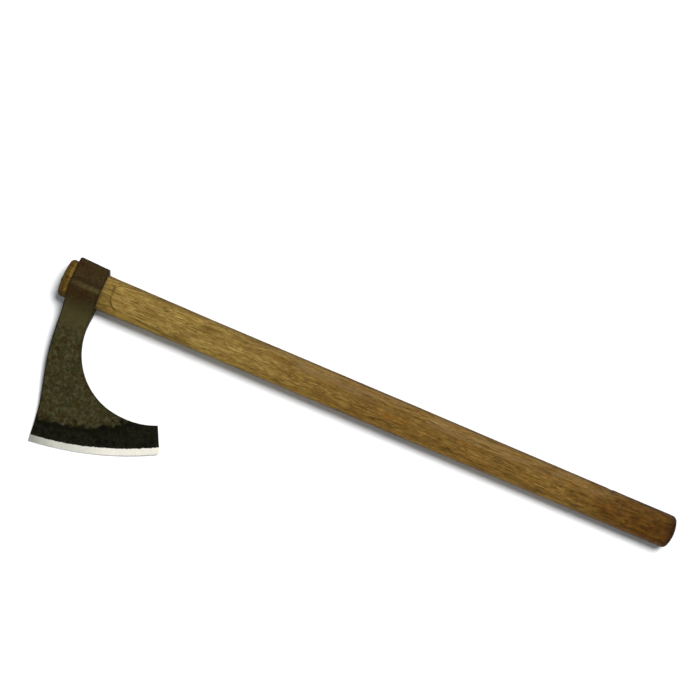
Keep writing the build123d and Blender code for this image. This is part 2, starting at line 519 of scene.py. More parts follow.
OVERLAP_ROWS = 24
body = make_object("head_body_forged", *head_skin(np.concatenate([barrel, blade, steel[:3]])))
bit = make_object("steel_bit_ground", *head_skin(np.concatenate([blade[-OVERLAP_ROWS:], steel])))
boolean(body, steel_region(), "DIFFERENCE")
boolean(bit, steel_region(), "INTERSECT")

# --- Haft and wedges

HAFT_TOP_X = -27.5
HAFT_BUTT_X = 671.2
DEPTH_X = [-27.5, 27.4, 30.8, 140.0, 360.0, 671.2]
DEPTH = [21.0, 19.5, 19.4, 18.7, 18.5, 17.8]
TENON_END = 27.4
TENON_TOP_Z = 14.6
TENON_ROOT_Z = 12.9
FLAT_Z = 14.0
FLAT_HALF_WIDTH = 11.3
FLAT_DEPTH = 18.6
TOP_DOME = 110.0
TOP_DOME_Y = -3.0
TOP_RIM = 5.5
BUTT_DOME = 37.0
BUTT_RIM = 6.0
RIM_SHARE = 0.8
RIM_ROWS = 9
STEP_IN = 0.01
MOST_TILT = 0.8


def top_dome(y, z):
    return HAFT_TOP_X + TOP_DOME - np.sqrt(TOP_DOME**2 - (y - TOP_DOME_Y) ** 2 - z**2)


def butt_dome(y, z):
    return HAFT_BUTT_X - BUTT_DOME + np.sqrt(BUTT_DOME**2 - y**2 - z**2)


def tenon_half(x):
    t = (x - HAFT_TOP_X) / (TENON_END - HAFT_TOP_X)
    return TENON_TOP_Z + (TENON_ROOT_Z - TENON_TOP_Z) * np.clip(t, 0, 1.2)


def half_depth(x):
    return np.interp(x, DEPTH_X, DEPTH)


def facets(angle, count, phase):
    """How far a shaved polygon falls inside its circle, from 0 at the corners to 1 at the flats."""
    part = 2 * math.pi / count
    within = np.mod(angle + phase, part) - part / 2
    return 1 - np.cos(part / 2) / np.cos(within)


KNOT_X = 592.0
SHOULDER_X = 28.1
SHOULDER_SLANT = 0.047
CURL_START_Y = -3.0
CURL_WIDTH = 8.5
CURL = 7.2
FACET_START = (34.7, -10.9)
FACET_END_X = 146.0
FACET_SLOPE = -0.0604


def shoulder_line(y):
    """X of the step where the tenon's bare wood gives way to the full haft, as it was whittled."""
    curl = CURL * np.clip((CURL_START_Y - y) / CURL_WIDTH, 0, 1) ** 2
    return SHOULDER_X - SHOULDER_SLANT * (y - CURL_START_Y) + curl


def haft_ring(x, angle):
    """The haft's section: oval, with planed flats on its broad sides and the marks of shaving."""
    c = np.cos(angle)
    s = np.sin(angle)
    depth = half_depth(x)
    y = depth * c
    shoulder = shoulder_line(y) + 0.25 * noise(stack(y, y * 0, np.sign(s) * 9.0), 5.0, 21)
    beside = smoothstep(FLAT_HALF_WIDTH - 1.5, FLAT_HALF_WIDTH + 3.0, np.abs(y))
    full = smoothstep(-0.6, 2.4, x - shoulder) * (1 - beside) + smoothstep(22.0, 42.0, x) * beside
    oval = FLAT_Z / math.sqrt(1 - (FLAT_HALF_WIDTH / FLAT_DEPTH) ** 2)
    tenon_z = tenon_half(x) * np.abs(s)
    body_z = soft_min(oval * np.abs(s), FLAT_Z + 0 * s, 0.9)
    z = tenon_z + (body_z - tenon_z) * full
    facet_y = FACET_START[1] + FACET_SLOPE * (x - FACET_START[0])
    on_facet = smoothstep(30.0, 38.0, x) * (1 - smoothstep(FACET_END_X - 40.0, FACET_END_X, x))
    z = z - 0.35 * on_facet * smoothstep(facet_y + 0.5, facet_y - 0.5, y)
    shaving = facets(angle, 13, 0.35) * (1 - full) * smoothstep(EYE_HALF - 3.0, EYE_HALF + 1.0, x)
    long_facets = facets(angle + 0.02 * np.sin(x / 90.0), 18, 0.1) * full
    on_round = 1 - smoothstep(0.80, 0.93, np.abs(s))
    shrink = 1 - 1.1 * shaving - 0.45 * long_facets * on_round
    p = stack(x, y, z * np.sign(s))
    waves = noise(p, (46.0, 14.0, 14.0), 22) * 0.12 + noise(p, (13.0, 5.0, 5.0), 23) * 0.035
    waves = waves * smoothstep(EYE_HALF - 2.0, EYE_HALF + 2.0, x)
    dents = -0.22 * smoothstep(0.58, 0.85, noise(p, (9.0, 5.0, 5.0), 24)) * full
    knot = np.exp(-(((x - KNOT_X) / 2.2) ** 2) - ((y - depth) / 1.6) ** 2)
    lump = np.exp(-(((x - KNOT_X - 5.5) / 4.0) ** 2) - ((y - depth) / 2.2) ** 2)
    push = waves + dents - 0.45 * knot + 0.15 * lump
    length = np.hypot(y, z) + 1e-9
    scale = shrink + push / length
    return y * scale, z * np.sign(s) * scale


def rim_arc(end, sign, rim, y, z):
    """The arc that rounds an end's rim where its rays meet the side at (y, z): the fraction of the
    ray where the arc leaves the end, the tilt of the end there, and the X of the arc's centre."""
    reach = np.hypot(y, z)
    radius = np.minimum(rim, RIM_SHARE * reach)
    tilt = np.zeros(reach.shape)
    for _ in range(4):
        touch = 1 - radius * (1 - np.sin(tilt)) / reach
        inside = touch - STEP_IN
        fall = sign * (end(y * inside, z * inside) - end(y * touch, z * touch))
        tilt = np.clip(np.arctan2(fall, STEP_IN * reach), 0.0, MOST_TILT)
    return touch, tilt, end(y * touch, z * touch) - sign * radius * np.cos(tilt)


def rounded_top(y, z):
    """The haft's top end with its rounded rim, as an X for each point within the tenon's oval."""
    length = np.hypot(y, z)
    turn = np.arctan2(z, y)
    reach = 1 / np.hypot(np.cos(turn) / half_depth(HAFT_TOP_X), np.sin(turn) / TENON_TOP_Z)
    touch, _, centre_x = rim_arc(top_dome, -1, TOP_RIM, reach * np.cos(turn), reach * np.sin(turn))
    over = np.clip(length - (reach - TOP_RIM), 0, TOP_RIM)
    curve = centre_x - np.sqrt(TOP_RIM**2 - over**2)
    return np.where(length < touch * reach, top_dome(y, z), curve)


def bar(ring, body_x, around, ends, rims, phase=0.0, cap_rings=14):
    """A closed bar along X: its sides follow ring(x, angle), its ends follow two surfaces given as
    X for (y, z), and the rims between them are rounded."""
    angle = phase + np.linspace(0, 2 * math.pi, around, endpoint=False)
    first = body_x[0]
    last = body_x[-1]

    def end_rows(end, x_side, sign, rim):
        y, z = ring(np.full(around, x_side), angle)
        reach = np.hypot(y, z)
        radius = np.minimum(rim, RIM_SHARE * reach)
        touch, tilt, centre_x = rim_arc(end, sign, rim, y, z)
        made = []
        for part in np.linspace(0, 1, RIM_ROWS):
            theta = math.pi / 2 + part * (tilt - math.pi / 2)
            scale = 1 - radius * (1 - np.sin(theta)) / reach
            x_row = centre_x + sign * radius * np.cos(theta)
            made.append(stack(x_row, y * scale, z * scale))
        for step in np.linspace(1, 0, cap_rings)[1:]:
            yy = y * touch * step
            zz = z * touch * step
            made.append(stack(end(yy, zz), yy, zz))
        return centre_x, made

    low_side, low_rows = end_rows(ends[0], first, -1, rims[0])
    high_side, high_rows = end_rows(ends[1], last, 1, rims[1])
    t = ((np.asarray(body_x) - first) / (last - first))[:, None]
    x = low_side[None, :] * (1 - t) + high_side[None, :] * t
    y, z = ring(x, np.broadcast_to(angle, x.shape))
    sides = stack(x, y, z)
    sides[0] = low_rows[0]
    sides[-1] = high_rows[0]
    grid = np.concatenate([low_rows[::-1], sides[1:-1], high_rows])
    return join_grids([(grid, True)])


def flat_end(x):
    return lambda y, z: x + 0 * y


def stepped(*stretches):
    """Stations along X: each stretch is (from, to, spacing)."""
    values = []
    for start, end, gap in stretches:
        count = max(2, int(round((end - start) / gap)) + 1)
        values.extend(np.linspace(start, end, count)[:-1])
    values.append(stretches[-1][1])
    return np.array(values)


haft_x = stepped(
    (HAFT_TOP_X, 16.0, 1.6),
    (16.0, 26.0, 0.8),
    (26.0, 32.0, 0.3),
    (32.0, KNOT_X - 8.0, 1.7),
    (KNOT_X - 8.0, KNOT_X + 14.0, 0.7),
    (KNOT_X + 14.0, HAFT_BUTT_X, 1.6),
)
haft_bar = bar(haft_ring, haft_x, 168, (top_dome, butt_dome), (TOP_RIM, BUTT_RIM))
haft = make_object("haft_shaved", *haft_bar)

WEDGE_DEPTH = 34.0
WEDGE_TOP_HALF = 3.0
KERF_HALF = 0.8
KERF_DEPTH = 42.0
STEEL_WEDGE_DEPTH = 24.0
STEEL_WEDGE_HALF_WIDTH = 10.5
STEEL_WEDGE_TOP_HALF = 1.6
STEEL_WEDGE_TIP_HALF = 0.3
STEEL_WEDGE_TURN = math.radians(24.0)
HAFT_GAP = 0.04
SLOT_GAP = 0.02


def wedge_half(x):
    t = (x - HAFT_TOP_X) / WEDGE_DEPTH
    return np.maximum(WEDGE_TOP_HALF + (KERF_HALF - WEDGE_TOP_HALF) * t, KERF_HALF)


def block(rows, w):
    """A closed block: rows of (x, half thickness in Z), and w to each side in Y."""
    return capped([[(x, -w, -h), (x, w, -h), (x, w, h), (x, -w, h)] for x, h in rows])


def turned(points, angle):
    """Points turned about X."""
    c = math.cos(angle)
    s = math.sin(angle)
    return points @ np.array([[1, 0, 0], [0, c, s], [0, -s, c]])


OUTSIDE = 6.0
CROSS = math.pi / 2 + STEEL_WEDGE_TURN


def slot_rows(top_half, tip_half, depth, gap):
    """A wedge's rows for a cutter, widened by gap and carried on past the haft's end."""
    slope = (top_half - tip_half) / depth
    start = (HAFT_TOP_X - OUTSIDE, top_half + slope * OUTSIDE + gap)
    return [start, (HAFT_TOP_X + depth, tip_half + gap)]


def kerf_cutter():
    rows = slot_rows(WEDGE_TOP_HALF, KERF_HALF, WEDGE_DEPTH, HAFT_GAP)
    rows.append((HAFT_TOP_X + KERF_DEPTH, KERF_HALF + HAFT_GAP))
    return make_object("kerf_cutter", *block(rows, 40.0))


def cross_cutter(gap):
    rows = slot_rows(STEEL_WEDGE_TOP_HALF, STEEL_WEDGE_TIP_HALF, STEEL_WEDGE_DEPTH, gap)
    points, faces = block(rows, STEEL_WEDGE_HALF_WIDTH + gap)
    return make_object("cross_cutter", turned(points, CROSS), faces)


SHORT_SIDE_SHARE = 0.15
CORNER_SHARE = 0.2
WEDGE_CORNER = 0.25


def rounded_box_ring(half_width, half_height, angle):
    """A rounded rectangle: each quarter turn gives a share of its points to half the short side,
    a share to the corner and the rest to half the long side."""
    c = np.cos(angle)
    s = np.sin(angle)
    part = np.arctan2(np.abs(s), np.abs(c)) / (math.pi / 2)
    up = np.clip(part / SHORT_SIDE_SHARE, 0, 1)
    bend = np.clip((part - SHORT_SIDE_SHARE) / CORNER_SHARE, 0, 1) * math.pi / 2
    turned_share = SHORT_SIDE_SHARE + CORNER_SHARE
    back = np.clip((part - turned_share) / (1 - turned_share), 0, 1)
    radius = np.minimum(WEDGE_CORNER, 0.8 * half_height)
    y = (half_width - radius) * (1 - back) + radius * np.cos(bend)
    z = (half_height - radius) * up + radius * np.sin(bend)
    return np.sign(c) * y, np.sign(s) * z


def wooden_wedge_ring(x, angle):
    """The wooden wedge's section, its short sides shaved to the tenon's oval."""
    half = wedge_half(x) - 0.06
    within = 1 - (half / tenon_half(x)) ** 2
    y, z = rounded_box_ring(half_depth(x) * np.sqrt(within) - 0.1, half, angle)
    return y * np.sqrt((1 - (z / tenon_half(x)) ** 2) / within), z


def steel_wedge_ring(x, angle):
    t = (x - HAFT_TOP_X) / STEEL_WEDGE_DEPTH
    half = STEEL_WEDGE_TOP_HALF + (STEEL_WEDGE_TIP_HALF - STEEL_WEDGE_TOP_HALF) * t - 0.04
    return rounded_box_ring(STEEL_WEDGE_HALF_WIDTH, half, angle)


def wedge_head(y, z):
    """The wooden wedge's sawn end, left a little proud and uneven."""
    p = stack(y * 0, y, z)
    return rounded_top(y, z) - 0.16 + 0.1 * noise(p, 2.2, 31)


def steel_head(y, z):
    """The steel wedge's hammered head, seen in the wedge's own turn."""
    ty = y * math.cos(CROSS) - z * math.sin(CROSS)
    tz = y * math.sin(CROSS) + z * math.cos(CROSS)
    p = stack(y * 0, y, z)
    return rounded_top(ty, tz) - 0.3 + 0.12 * noise(p, 3.0, 32)


wood_x = stepped((HAFT_TOP_X, HAFT_TOP_X + WEDGE_DEPTH, 1.2))
wood_ends = (wedge_head, flat_end(HAFT_TOP_X + WEDGE_DEPTH - 0.4))
wood_bar = bar(wooden_wedge_ring, wood_x, 220, wood_ends, (0.35, 0.35), math.pi / 220, 32)
wooden_wedge = make_object("wooden_wedge_split", *wood_bar)
steel_x = stepped((HAFT_TOP_X, HAFT_TOP_X + STEEL_WEDGE_DEPTH, 1.0))
steel_ends = (steel_head, flat_end(HAFT_TOP_X + STEEL_WEDGE_DEPTH - 0.2))
points, faces = bar(steel_wedge_ring, steel_x, 160, steel_ends, (0.3, 0.3), math.pi / 160, 24)
steel_wedge = make_object("steel_wedge_driven", turned(points, CROSS), faces)

boolean(haft, kerf_cutter(), "DIFFERENCE")
boolean(haft, cross_cutter(HAFT_GAP), "DIFFERENCE")
boolean(wooden_wedge, cross_cutter(SLOT_GAP), "DIFFERENCE")

FLARE = 0.9
FLARE_START = 15.6


def eye_ring(x, angle):
    """The eye: the tenon's oval, opened a little towards both of its mouths."""
    y = half_depth(x) * np.cos(angle)
    z = tenon_half(x) * np.sin(angle)
    open_by = 0.08 + FLARE * np.clip((np.abs(x) - FLARE_START) / (EYE_HALF - FLARE_START), 0, 4) ** 2
    length = np.hypot(y, z)
    return y * (1 + open_by / length), z * (1 + open_by / length)


eye_x = stepped(
    (-EYE_HALF - 3.0, -FLARE_START, 0.3),
    (-FLARE_START, FLARE_START, 4.0),
    (FLARE_START, EYE_HALF + 4.0, 0.3),
)
eye_ends = (flat_end(-EYE_HALF - 3.0), flat_end(EYE_HALF + 4.0))
eye_bar = bar(eye_ring, eye_x, 160, eye_ends, (0.01, 0.01))
boolean(body, make_object("eye_cutter", *eye_bar), "DIFFERENCE")

# --- Shader building


class Nodes:
    """A node tree, with a short call for each kind of node."""

    def __init__(self, tree):
        self.tree = tree

    def add(self, kind, values=(), **settings):
        """A node with its settings; its inputs, by number or name, take a socket or a constant."""
        made = self.tree.nodes.new("ShaderNode" + kind)
        for key, value in settings.items():
            setattr(made, key, value)
        for key, value in dict(values).items():
            if isinstance(value, bpy.types.NodeSocket):
                self.tree.links.new(value, made.inputs[key])
            else:
                made.inputs[key].default_value = value
        return made

    def vector(self, operation, a, b):
        made = self.add("VectorMath", {0: a, 1: b}, operation=operation)
        return made.outputs["Value" if operation in ("DOT_PRODUCT", "DISTANCE") else "Vector"]

    def calc(self, operation, a, b=0.0):
        return self.add("Math", {0: a, 1: b}, operation=operation).outputs[0]

    def plus(self, a, b):
        return self.calc("ADD", a, b)

    def minus(self, a, b):
        return self.calc("SUBTRACT", a, b)

    def product(self, first, *others):
        for other in others:
            first = self.calc("MULTIPLY", first, other)
        return first

    def swing(self, value, amount):
        """A value from 0 to 1 as one from -amount / 2 to amount / 2."""
        return self.product(self.minus(value, 0.5), amount)

    def join(self, x, y, z):
        return self.add("CombineXYZ", {0: x, 1: y, 2: z}).outputs[0]

    def smooth(self, value, low, high, start=0.0, end=1.0):
        """Start below low, end above high, and a smooth passage between."""
        values = {"Value": value, "From Min": low, "From Max": high, "To Min": start, "To Max": end}
        return self.add("MapRange", values, interpolation_type="SMOOTHSTEP").outputs["Result"]

    def fall(self, value, low, high):
        return self.smooth(value, low, high, 1.0, 0.0)

    def band(self, value, low, high, soft):
        """1 between low and high, fading to 0 over soft on both sides."""
        rise = self.smooth(value, low - soft, low + soft)
        return self.product(rise, self.fall(value, high - soft, high + soft))


class Shader(Nodes):
    """A material's nodes. Lengths are in mm, and x, y, z and place are in the tool's frame."""

    def __init__(self, name):
        self.material = bpy.data.materials.new(name)
        self.material.use_nodes = True
        super().__init__(self.material.node_tree)
        self.tree.nodes.clear()
        row = self.add("TexCoord").outputs["Object"]
        moved = self.vector("SUBTRACT", row, tuple(ORIGIN))
        self.x, self.y, self.z = [self.vector("DOT_PRODUCT", moved, tuple(axis / MM)) for axis in TOOL]
        self.place = self.join(self.x, self.y, self.z)

    def stretched(self, size, source=None):
        """A place divided by one length, or by one for each axis, for grain that runs one way."""
        lengths = (size,) * 3 if isinstance(size, float) else size
        return self.vector("DIVIDE", source or self.place, lengths)

    def noise(self, size, detail=3.0, roughness=0.55, shift=0.0, source=None):
        """Noise from 0 to 1 whose lumps are size across; size is one length or three."""
        where = self.stretched(size, source)
        if shift:
            where = self.vector("ADD", where, (shift, 1.7 * shift, 2.3 * shift))
        values = {"Vector": where, "Scale": 1.0, "Detail": detail, "Roughness": roughness}
        return self.add("TexNoise", values).outputs["Fac"]

    def wobbled(self, size, amount):
        """The place, moved by up to half of amount in each direction."""
        values = {"Vector": self.stretched(size), "Scale": 1.0, "Detail": 2.0}
        colour = self.add("TexNoise", values).outputs["Color"]
        offset = self.vector("SUBTRACT", colour, (0.5, 0.5, 0.5))
        return self.vector("ADD", self.place, self.vector("MULTIPLY", offset, (amount,) * 3))

    def cells(self, size, source, feature="F1"):
        """Distance to scattered points, or to the walls between their cells, in cell sizes."""
        values = {"Vector": self.stretched(size, source), "Scale": 1.0}
        return self.add("TexVoronoi", values, feature=feature).outputs["Distance"]

    def mix(self, factor, a, b, blend="MIX"):
        a, b = [side if isinstance(side, bpy.types.NodeSocket) else (*side, 1.0) for side in (a, b)]
        values = {"Factor": factor, "A": a, "B": b}
        return self.add("Mix", values, data_type="RGBA", blend_type=blend).outputs["Result"]

    def layers(self, colour, *paints, blend="MIX"):
        """The colour under paints, each a colour and the factors of its strength."""
        for paint, *strength in paints:
            colour = self.mix(self.product(*strength), colour, paint, blend)
        return colour

    def stains(self, colour, *paints):
        return self.layers(colour, *paints, blend="MULTIPLY")

    def fade(self, factor, a, b):
        """A number that goes from a to b."""
        values = {"Factor": factor, "A": a, "B": b}
        return self.add("Mix", values, data_type="FLOAT").outputs["Result"]

    def mask(self, name):
        return self.add("Attribute", attribute_name=name).outputs["Fac"]

    def radius(self, centre):
        """Distance from the line across the blade through centre."""
        flat = self.join(self.x, self.y, 0.0)
        return self.vector("DISTANCE", flat, (float(centre[0]), float(centre[1]), 0.0))

    def bump(self, height, depth, **below):
        """A normal for relief of that depth, laid over an earlier one if below gives its Normal."""
        values = {"Distance": depth * MM, "Height": height, **below}
        return self.add("Bump", values).outputs["Normal"]

    def finish(self, colour, roughness, normal, sheen, metallic=0.0):
        values = {"Base Color": colour, "Roughness": roughness, "Metallic": metallic}
        values |= {"Normal": normal, "Specular IOR Level": sheen[0], "Specular Tint": sheen[1]}
        surface = self.add("BsdfPrincipled", values)
        self.add("OutputMaterial", {0: surface.outputs[0]})
        return self.material


def rgb(*display):
    """A colour given in 8-bit display values, as the linear values that shaders take."""
    v = np.array(display) / 255.0
    return tuple(float(c) for c in np.where(v <= 0.04045, v / 12.92, ((v + 0.055) / 1.055) ** 2.4))


# --- Materials

IRON_SHEEN = (0.04, (1.0, 0.95, 0.8, 1.0))
OLIVE_DARK = rgb(38, 35, 12)
OLIVE = rgb(54, 50, 24)
OLIVE_CLOUD = rgb(47, 43, 20)
NECK_OLIVE = rgb(65, 58, 33)
SCALE_WEB = rgb(82, 78, 56)
SCALE_SPECK = rgb(92, 90, 68)
RUST = rgb(44, 31, 4)
SOOT = rgb(22, 20, 6)
# Darkens the head's rims and the eye's mouths: partly dark scale, partly painted shade.
RIM_SHADE_AND_SCALE = rgb(22, 18, 6)
EYE_DARK = rgb(46, 27, 5)
EYE_BROWN = rgb(50, 37, 14)
# The eye's lighter brown towards its back side: painted light where that side faces the light.
EYE_BACK_LIT = rgb(53, 43, 21)
EYE_SOOT = rgb(27, 18, 5)
EYE_SPECK = rgb(74, 62, 40)
EYE_SHADE = rgb(32, 22, 9)
# The eye's crest colour: partly rubbed wear, partly a painted highlight.
CREST_WEAR_AND_HIGHLIGHT = rgb(80, 74, 44)
BAND_LIGHT = rgb(25, 25, 14)
BAND_DARK = rgb(8, 8, 3)
BAND_BLOT = rgb(4, 4, 1)
BORDER_BLOT = rgb(5, 5, 1)
BORDER_DARK = rgb(6, 6, 1)
# The bevel's colours from heel to toe; their rise in brightness is painted light.
BEVEL_HEEL_SHADED = rgb(146, 147, 140)
BEVEL_MIDDLE = rgb(212, 210, 198)
BEVEL_TOE_LIT = rgb(250, 244, 230)
BEVEL_STROKE = rgb(140, 138, 126)


def iron(name):
    """Forged iron under oil-blackened scale: mottled olive grey, rust-brown spots, a darker hard
    band along the edge, and a browner eye that is lighter towards its back as painted light, with
    a lighter crest band that is partly rubbed wear and partly a painted highlight. The rims and the
    eye's mouths are darkened, partly dark scale and partly painted shade. The pattern runs on from
    the iron body into the edge steel. Gives the shader and its colour, roughness and height."""
    s = Shader(name)
    patch = s.noise(11.0, 4.0, 0.6, shift=3.0)
    fine = s.noise(2.6, 3.0, 0.65, shift=7.0)
    speck = s.noise(1.0, 2.0, 0.6, shift=9.0)
    wobbled = s.wobbled(3.0, 2.4)
    mottled = s.smooth(s.y, -52.0, -36.0, 1.0, 0.12)
    web = s.fall(s.cells(6.6, wobbled, "DISTANCE_TO_EDGE"), 0.0, 0.26)
    web = s.product(web, s.smooth(s.noise(5.0, 3.0, 0.6, shift=11.0), 0.4, 0.64), mottled)
    spots = s.fall(s.cells(7.6, wobbled), 0.18, 0.5)
    spots = s.product(spots, s.smooth(s.noise(15.0, 2.0, shift=5.0), 0.28, 0.46), mottled)
    plate = s.layers(
        OLIVE_DARK,
        (OLIVE, s.smooth(patch, 0.3, 0.7)),
        (OLIVE_CLOUD, s.smooth(s.noise(38.0, 3.0), 0.38, 0.66, 0.0, 0.6)),
        (NECK_OLIVE, s.smooth(s.y, -66.0, -34.0, 0.0, 0.85)),
        (SCALE_WEB, web, 0.52),
        (RUST, spots, 0.92),
        (SCALE_SPECK, s.smooth(speck, 0.54, 0.74), mottled, 0.6),
        (SOOT, s.smooth(fine, 0.45, 0.70), mottled, 0.54),
    )

    eye_edge = s.plus(s.y, s.swing(s.noise(6.0, 3.0, shift=13.0), 3.0))
    brown = s.layers(
        EYE_DARK,
        (EYE_BROWN, s.smooth(s.noise(10.0, 4.0, 0.6, shift=17.0), 0.35, 0.65)),
        # lighter towards the eye's back side: painted light
        (EYE_BACK_LIT, s.smooth(s.x, -12.0, 16.0, 0.0, 0.5)),
        (EYE_SOOT, s.smooth(fine, 0.4, 0.7, 0.0, 0.75)),
        (EYE_SPECK, s.smooth(speck, 0.5, 0.72, 0.0, 0.5)),
    )
    # The crest band, fading to the left: partly rubbed wear, partly a painted highlight where the
    # barrel faces the light.
    crest = s.product(s.band(eye_edge, -3.4, 1.4, 1.2), s.smooth(s.x, -15.0, 2.0, 0.45, 1.0))
    crest = s.product(crest, s.smooth(fine, 0.3, 0.7, 1.0, 0.3))

    weld = s.radius(WELD_CENTRE)
    scallop = s.plus(s.swing(s.noise(10.0, 2.0, 0.5, shift=19.0), 14.0), s.swing(fine, 5.0))
    border = s.plus(weld, scallop)
    hard = s.smooth(border, WELD_RADIUS - 4.2, WELD_RADIUS + 4.6)
    blots = s.fall(s.cells(8.6, wobbled), 0.2, 0.48)
    black = s.layers(
        BAND_LIGHT,
        (BAND_DARK, s.smooth(fine, 0.35, 0.65)),
        (BAND_BLOT, blots, 0.7),
    )
    near_weld = s.fall(s.calc("ABSOLUTE", s.minus(weld, WELD_RADIUS)), 2.0, 8.5)
    past_weld = s.band(border, WELD_RADIUS, WELD_RADIUS + 6.0, 1.6)
    # Patchy darkening along the rims, the poll and the eye's mouths: partly dark scale, partly painted
    # shade.
    rim_shade_and_scale = s.product(s.mask("edge"), s.smooth(s.noise(7.0, 3.0, shift=23.0), 0.25, 0.55, 0.4, 1.0))
    colour = s.layers(
        plate,
        (brown, s.smooth(eye_edge, -32.0, -9.0)),
        (EYE_SHADE, s.band(eye_edge, 2.6, 6.0, 1.4), 0.45),
        # painted highlight and rubbed wear on the eye's crest
        (CREST_WEAR_AND_HIGHLIGHT, crest, 0.7),
        (black, hard),
        (BORDER_BLOT, near_weld, blots, 0.95),
        (BORDER_DARK, past_weld, 0.8),
        # dark scale and painted shade along the rims and the eye's mouths
        (RIM_SHADE_AND_SCALE, rim_shade_and_scale, 0.62),
    )

    roughness = s.smooth(patch, 0.2, 0.8, 0.64, 0.5)
    height = s.plus(s.product(fine, 0.6), s.product(speck, 0.25))
    height = s.minus(height, s.product(spots, 0.35))
    height = s.minus(height, s.product(blots, hard, 0.3))
    return s, colour, roughness, height


def iron_material():
    s, colour, roughness, height = iron("forged_iron")
    return s.finish(colour, roughness, s.bump(height, 0.22), IRON_SHEEN)


def steel_material():
    """The edge steel: the iron's dark band, then a bright hand-ground bevel that brightens towards the
    toe as painted light.
    """
    s, colour, roughness, height = iron("edge_steel")
    edge = s.radius(EDGE_CENTRE)
    ragged = s.swing(s.noise(2.6, 4.0, 0.75, shift=29.0), 3.4)
    ground = s.smooth(s.plus(edge, ragged), BEVEL_RADIUS - 0.25, BEVEL_RADIUS + 0.25)
    centre_x, centre_y = EDGE_CENTRE.tolist()
    bearing = s.calc("ARCTAN2", s.minus(s.y, centre_y), s.minus(s.x, centre_x))
    unrolled = s.join(s.product(bearing, EDGE_RADIUS), edge, s.z)
    strokes = s.noise((0.35, 14.0, 14.0), 3.0, 0.7, source=unrolled)
    # The bevel is painted grey at the heel and near white towards the toe: painted light, the toe end
    # facing the light more.
    at = s.plus(s.x, s.swing(s.noise(14.0, 2.0, shift=31.0), 24.0))
    bright = s.layers(
        BEVEL_HEEL_SHADED,
        (BEVEL_MIDDLE, s.smooth(at, 0.0, 36.0)),
        (BEVEL_TOE_LIT, s.smooth(at, 36.0, 100.0)),
        (BEVEL_STROKE, s.smooth(strokes, 0.3, 0.7, 0.3, 0.0)),
    )
    colour = s.mix(ground, colour, bright)
    roughness = s.fade(ground, roughness, s.smooth(strokes, 0.2, 0.8, 0.4, 0.52))
    scratch = s.bump(s.product(strokes, ground), 0.02, Normal=s.bump(height, 0.2))
    return s.finish(colour, roughness, scratch, IRON_SHEEN, s.product(ground, 0.3))


WOOD_SHEEN = (0.08, (1.0, 0.92, 0.72, 1.0))
WOOD_RELIEF = 0.16
PITH_Y = -58.0
PITH_Z = -34.0
RING_WIDTH = 3.4
AMBER = rgb(124, 80, 18)
# Grey for patches on the grip's upper half: partly wear, partly painted sheen.
WORN_AND_SHEEN = rgb(134, 110, 74)
SOAKED = rgb(52, 30, 4)
# Painted shade for the shoulder's step and the lower facet's crease.
STEP_SHADE_LINE = rgb(84, 60, 20)
FACET_SHADE_LINE = rgb(84, 62, 22)
NOTCH = rgb(40, 26, 8)


def wood(name, light, dark, pore, stain):
    """Open-pored hardwood: growth rings that drift along the haft, pores as short dashes along
    the grain and dots on the end grain, and an uneven oiled stain. Gives the shader and its
    colour, roughness, height and blotches."""
    s = Shader(name)
    bend = s.swing(s.noise((160.0, 30.0, 30.0), 2.0, shift=2.0), 16.0)
    from_y = s.plus(s.plus(s.y, -PITH_Y), s.plus(bend, s.product(s.x, 0.035)))
    from_z = s.plus(s.z, -PITH_Z)
    ring = s.calc("SQRT", s.plus(s.product(from_y, from_y), s.product(from_z, from_z)))
    phase = s.calc("FRACT", s.calc("DIVIDE", ring, RING_WIDTH))
    late = s.product(s.smooth(phase, 0.45, 0.9), s.fall(phase, 0.93, 1.0))
    streak = s.noise((70.0, 2.6, 2.6), 4.0, 0.6, shift=4.0)
    fibre = s.noise((16.0, 0.9, 0.9), 3.0, 0.6, shift=6.0)
    pores = s.smooth(s.noise((5.5, 0.8, 0.8), 2.0, 0.5, shift=8.0), 0.56, 0.66)
    pores = s.product(pores, s.smooth(s.noise((34.0, 5.0, 5.0), 2.0, shift=10.0), 0.36, 0.58))
    flecks = s.smooth(s.noise((10.0, 1.1, 1.1), 2.0, 0.5, shift=15.0), 0.60, 0.70)
    blotch = s.noise((30.0, 9.0, 9.0), 3.0, 0.6, shift=12.0)
    mottle = s.noise((10.0, 1.2, 1.2), 4.0, 0.7, shift=14.0)
    colour = s.layers(
        light,
        (dark, s.smooth(mottle, 0.35, 0.65)),
        (dark, s.smooth(streak, 0.36, 0.66, 0.0, 0.62)),
        (dark, late, 0.2),
        (pore, s.smooth(fibre, 0.4, 0.72, 0.0, 0.48)),
        (light, flecks, 0.7),
        (stain, s.smooth(blotch, 0.48, 0.72, 0.0, 0.6)),
        (pore, pores, 0.75),
    )
    roughness = s.smooth(fibre, 0.2, 0.8, 0.55, 0.7)
    height = s.minus(s.product(fibre, 0.35), s.product(pores, 0.8))
    height = s.minus(height, s.product(late, 0.12))
    return s, colour, roughness, height, blotch


